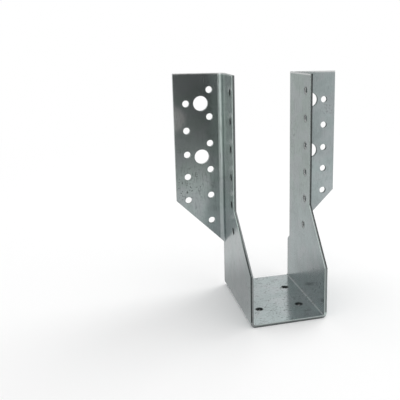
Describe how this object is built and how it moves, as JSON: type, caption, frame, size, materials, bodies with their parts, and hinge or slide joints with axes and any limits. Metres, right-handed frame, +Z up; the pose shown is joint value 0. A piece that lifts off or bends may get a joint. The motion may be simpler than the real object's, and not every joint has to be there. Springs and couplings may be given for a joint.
{
  "type": "beam hanger",
  "caption": "Folded sheet-steel beam hanger: U-shaped stirrup with tapered walls and outward nailing flanges, punched for nails and bolts.",
  "frame": {"origin": "centre of the seat's underside, which is the bottom centre of the bounding box", "axes": "+Z up along the walls; +Y into the header, so the flanges' back faces look along it; +X to the right when facing the header"},
  "size_m": [0.127, 0.078, 0.167],
  "materials": {
    "galvanised_steel": "hot-dip galvanised sheet, semi-gloss"
  },
  "bodies": {
    "root": {"hanger": "galvanised_steel"}
  },
  "joints": []
}
